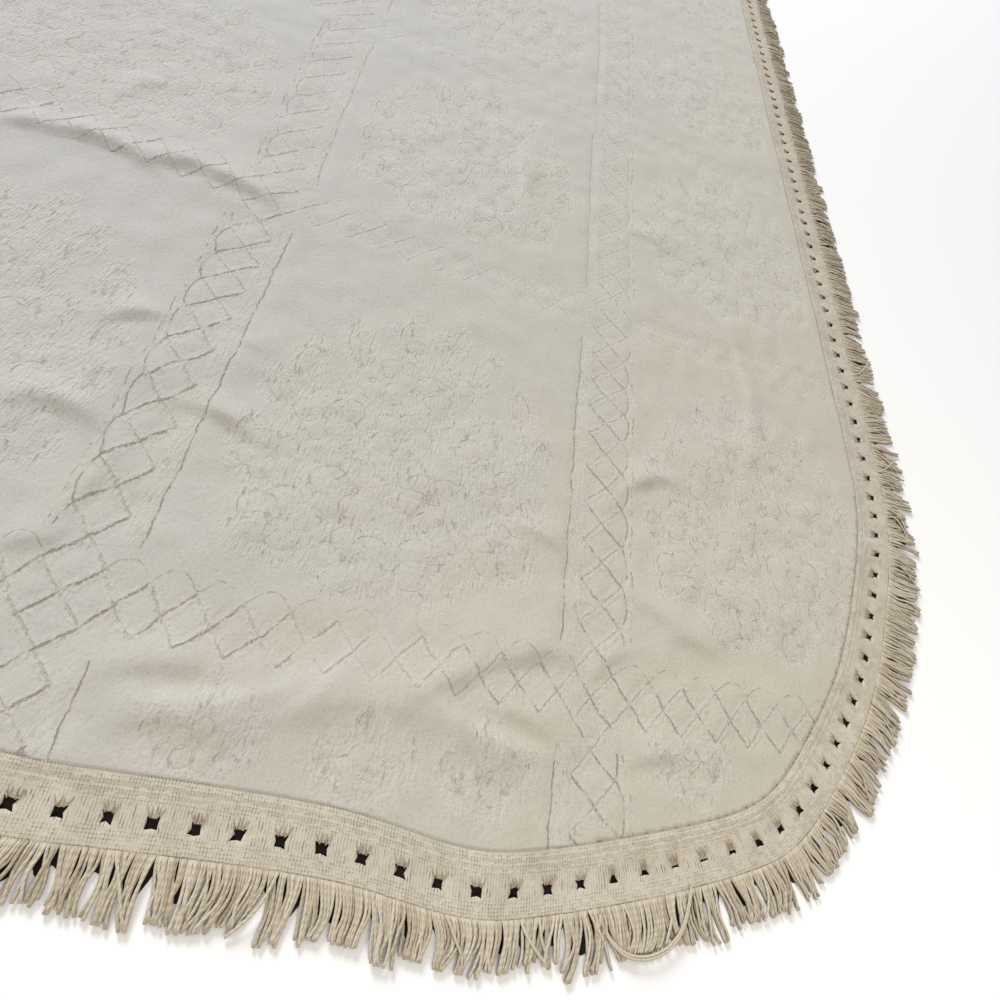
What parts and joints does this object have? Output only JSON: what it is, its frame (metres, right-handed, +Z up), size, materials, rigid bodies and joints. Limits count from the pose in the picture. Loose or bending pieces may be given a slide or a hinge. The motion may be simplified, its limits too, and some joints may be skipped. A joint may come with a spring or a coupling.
{
  "type": "chenille bedspread with eyelet heading and yarn fringe",
  "caption": "Cream cotton bedspread laid flat, with rounded foot corners, a woven eyelet heading and a cut yarn fringe along its foot and long sides.",
  "frame": {"origin": "middle of the underside of the laid cloth's box, on the surface it lies on", "axes": "+Y towards the plain hemmed head edge, +X to the right seen from above with the head at the top, +Z up"},
  "size_m": [1.8, 2.675, 0.0204],
  "materials": {
    "panel_cotton": "soft short cotton pile with sunken pattern lines, matt",
    "heading_cotton": "dense plain-woven cotton strip, matt",
    "fringe_yarn": "soft two-ply cotton yarn, matt"
  },
  "bodies": {
    "root": {"spread_panel": "panel_cotton", "fringe_heading": "heading_cotton", "fringe_skirt": "fringe_yarn"}
  },
  "joints": []
}
